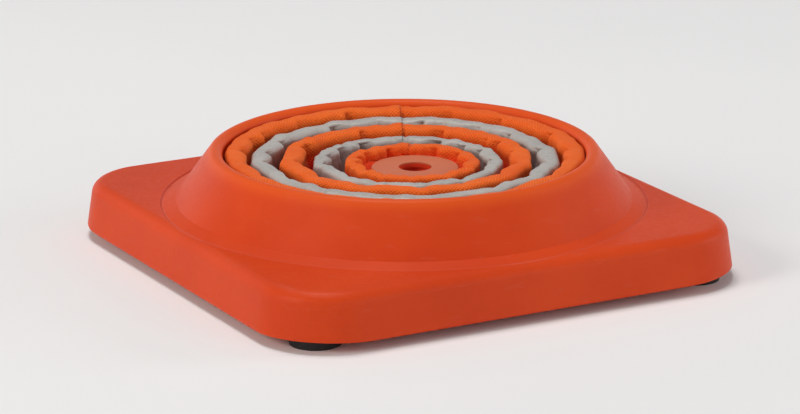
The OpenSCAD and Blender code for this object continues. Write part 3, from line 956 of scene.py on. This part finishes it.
def dress_cad():
    """Gives every CAD part that shows, or could, its own material, and returns the wires' one."""
    base = moulded_plastic("base plastic", BASE_ORANGE, rgb(0.62, 0.053, 0.010))
    hole = (off_centre(SEAM_SHIFT[-1]), CAP_HOLE_REACH, CAP_HOLE_TOP)
    cap_light, cap_deep = rgb(0.64, 0.185, 0.095), rgb(0.60, 0.155, 0.08)
    cap = moulded_plastic("cap plastic", cap_light, cap_deep, specks=False, roughness=0.46, hole=hole)
    feet = rubber()
    zinc = metal("zinc plate", rgb(0.62, 0.62, 0.6), rgb(0.36, 0.36, 0.36), 0.32, (1, 1, 6))
    wire = metal("drawn wire", rgb(0.42, 0.42, 0.43), rgb(0.2, 0.2, 0.21), 0.3, (1, 1, 8))
    black = black_plastic()
    looks = {
        base: ["base_shell", "base_collar", "bottom_plate", "catch_pedestal"],
        cap: ["top_cap"],
        feet: ["foot_front_left", "foot_front_right", "foot_rear_left", "foot_rear_right"],
        zinc: ["foot_screws", "hem_screws", "catch_screw", "cap_screws", "strike_plate"],
        wire: ["seam_hoop_1", "seam_hoop_2", "seam_hoop_3", "seam_hoop_4"],
        black: ["hem_ring", "cap_ring"],
        ferrite(): ["magnet_ring"],
    }
    for material, names in looks.items():
        for name in names:
            finish_cad(name, material)
    return wire


# ---------------------------------------------------------------- the studio

CAMERA_AZIMUTH = math.radians(-28.78)
CAMERA_ELEVATION = math.radians(16.25)
CAMERA_DISTANCE = 2.1463
CAMERA_LENS = 171.7
AIM_Z = 0.030
AIM_RIGHT = -0.00234
AIM_UP = -0.00252
FLOOR_STEPS = 96
FLOOR_RINGS = [0.4, 1.0, 2.2]
# The backdrop's strength is the first up to the first height, and falls to the second at the second height,
# with heights as the upward share of a direction
BACKDROP_STRENGTH = (0.88, 0.21)
BACKDROP_HEIGHT = (0.03, 0.45)
WHITE = (1, 1, 1)
# Each soft light's name, place, size, power and colour
LIGHTS = [
    ("key", (-2.65, -0.25, 1.4), 1.3, 34, (1, 0.95, 0.88)),
    ("right", (2.1, -0.9, 0.7), 0.9, 10.5, WHITE),
    ("front", (1.3, -2.7, 0.85), 1.2, 9.2, WHITE),
    ("back", (-0.7, 2.9, 0.9), 1.4, 3.5, WHITE),
    ("top", (-0.1, 0.5, 3.0), 1.1, 42, WHITE),
]


def make_camera():
    """The camera, at the real view's direction, distance and lens."""
    a, e = CAMERA_AZIMUTH, CAMERA_ELEVATION
    back = Vector((math.sin(a) * math.cos(e), -math.cos(a) * math.cos(e), math.sin(e)))
    right = Vector((math.cos(a), math.sin(a), 0))
    up = back.cross(right)
    camera = bpy.data.objects.new("camera", bpy.data.cameras.new("camera"))
    camera.data.lens = CAMERA_LENS
    camera.location = Vector((0, 0, AIM_Z)) + right * AIM_RIGHT + up * AIM_UP + back * CAMERA_DISTANCE
    camera.rotation_mode = "QUATERNION"
    camera.rotation_quaternion = (-back).to_track_quat("-Z", "Y")
    bpy.context.scene.collection.objects.link(camera)
    bpy.context.scene.camera = camera


def soft_light(name, place, size, power, colour):
    """A round area light that faces the object."""
    light = bpy.data.lights.new(name, "AREA")
    light.shape = "DISK"
    light.size = size
    light.energy = power
    light.color = colour
    lamp = bpy.data.objects.new(name, light)
    lamp.location = place
    lamp.rotation_mode = "QUATERNION"
    lamp.rotation_quaternion = (Vector((0, 0, AIM_Z)) - Vector(place)).to_track_quat("-Z", "Y")
    lamp.visible_camera = False
    bpy.context.scene.collection.objects.link(lamp)


def make_floor():
    """A round floor, on which the object stands."""
    steps = FLOOR_STEPS
    angle = np.linspace(0, 2 * math.pi, steps, endpoint=False)
    points = [(0, 0, 0)]
    for r in FLOOR_RINGS:
        points += [(r / MM * math.cos(a), r / MM * math.sin(a), 0) for a in angle]
    faces = [[0, 1 + k, 1 + (k + 1) % steps] for k in range(steps)]
    for ring in range(len(FLOOR_RINGS) - 1):
        a, b = 1 + ring * steps, 1 + (ring + 1) * steps
        faces += [[a + k, b + k, b + (k + 1) % steps, a + (k + 1) % steps] for k in range(steps)]
    floor = mesh_object("studio_floor", points, faces)
    floor.data.materials.append(floor_material())


def make_backdrop():
    """A pale backdrop all round, bright near the horizon and dimmer above."""
    world = bpy.data.worlds.new("studio")
    world.use_nodes = True
    nodes, links = world.node_tree.nodes, world.node_tree.links
    backdrop = nodes["Background"]
    backdrop.inputs["Color"].default_value = rgb(0.95, 0.95, 0.96)
    split = nodes.new("ShaderNodeSeparateXYZ")
    links.new(nodes.new("ShaderNodeTexCoord").outputs["Generated"], split.inputs[0])
    glow = nodes.new("ShaderNodeMapRange")
    glow.interpolation_type = "SMOOTHSTEP"
    sockets = ("From Min", "From Max", "To Min", "To Max")
    for socket, value in zip(sockets, BACKDROP_HEIGHT + BACKDROP_STRENGTH):
        glow.inputs[socket].default_value = value
    links.new(split.outputs["Z"], glow.inputs["Value"])
    links.new(glow.outputs[0], backdrop.inputs["Strength"])
    bpy.context.scene.world = world


def make_studio():
    """The floor, the backdrop and the lights."""
    make_floor()
    make_backdrop()
    for light in LIGHTS:
        soft_light(*light)
    bpy.context.scene.view_settings.view_transform = "Standard"


# ---------------------------------------------------------------- the whole

def main():
    """Camera and studio, the CAD parts' looks, the cloth and the spring."""
    make_camera()
    make_studio()
    wire = dress_cad()
    materials = [orange_cloth(), reflective_cloth()]
    threads = [thread("orange thread", rgb(0.42, 0.045, 0.012)), thread("grey thread", rgb(0.15, 0.15, 0.15))]
    tapes = [seam_tape(k, materials[0]) for k in range(1, LAST + 1)]
    for i, ring in enumerate(make_rings()):
        piece, sewing, flat, area = make_band(i, ring, materials, threads)
    spring_pieces(wire)


main()
